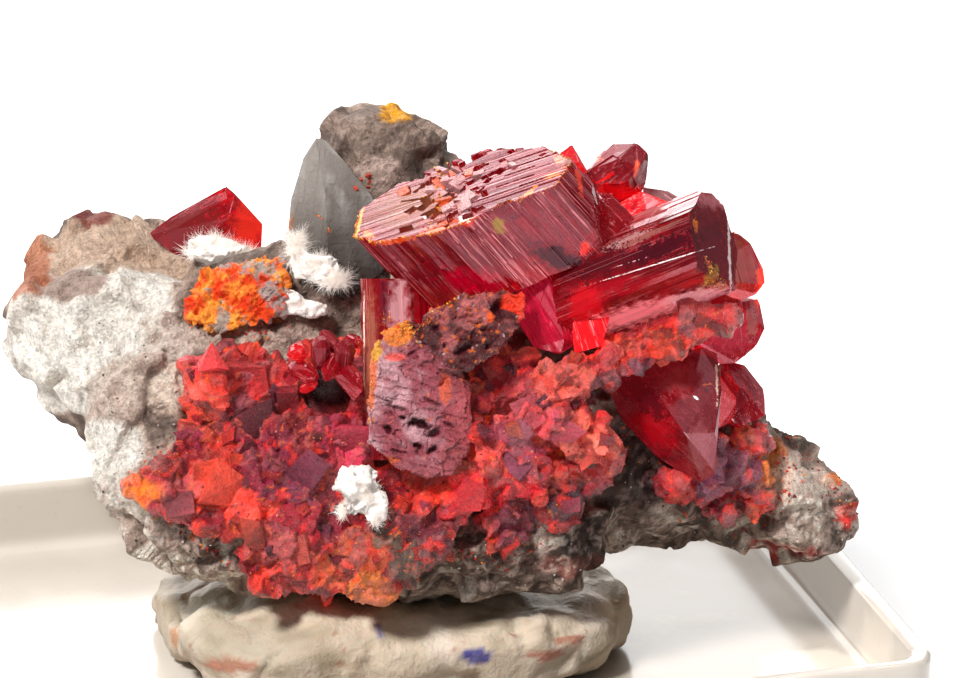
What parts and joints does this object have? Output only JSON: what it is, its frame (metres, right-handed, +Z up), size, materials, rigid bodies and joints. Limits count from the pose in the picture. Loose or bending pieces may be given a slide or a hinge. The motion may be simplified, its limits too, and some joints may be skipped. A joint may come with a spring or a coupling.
{
  "type": "realgar on matrix",
  "caption": "Mineral specimen: red striated realgar prisms and crust on rough grey matrix, held by putty in a shallow rectangular white display tray.",
  "frame": {"origin": "centre of the tray's flat underside, on the surface it rests on", "axes": "+Z up, +X along the tray's long side, the specimen's showy face towards -Y and turned a little to -X"},
  "size_m": [0.056, 0.04, 0.0306],
  "materials": {
    "stone": "rough, granular",
    "realgar": "adamantine, transparent deep red",
    "realgar_crust": "resinous, uneven",
    "orange_mineral": "powdery",
    "grey_crystal": "satin, translucent",
    "white_mineral": "fibrous",
    "putty": "smooth, kneaded",
    "tray": "gloss"
  },
  "bodies": {
    "root": {"tray": "tray", "putty": "putty", "matrix": "stone", "realgar_crystals": "realgar", "realgar_crystals_lower": "realgar", "realgar_crust": "realgar_crust", "realgar_crust_right": "realgar_crust", "realgar_crystal_back": "realgar", "orange_crust": "orange_mineral", "grey_blade_crystal": "grey_crystal", "white_fluff": "white_mineral", "white_tuft": "white_mineral", "white_cap": "white_mineral", "white_patch": "white_mineral", "hollow_crystals": "realgar"}
  },
  "joints": []
}
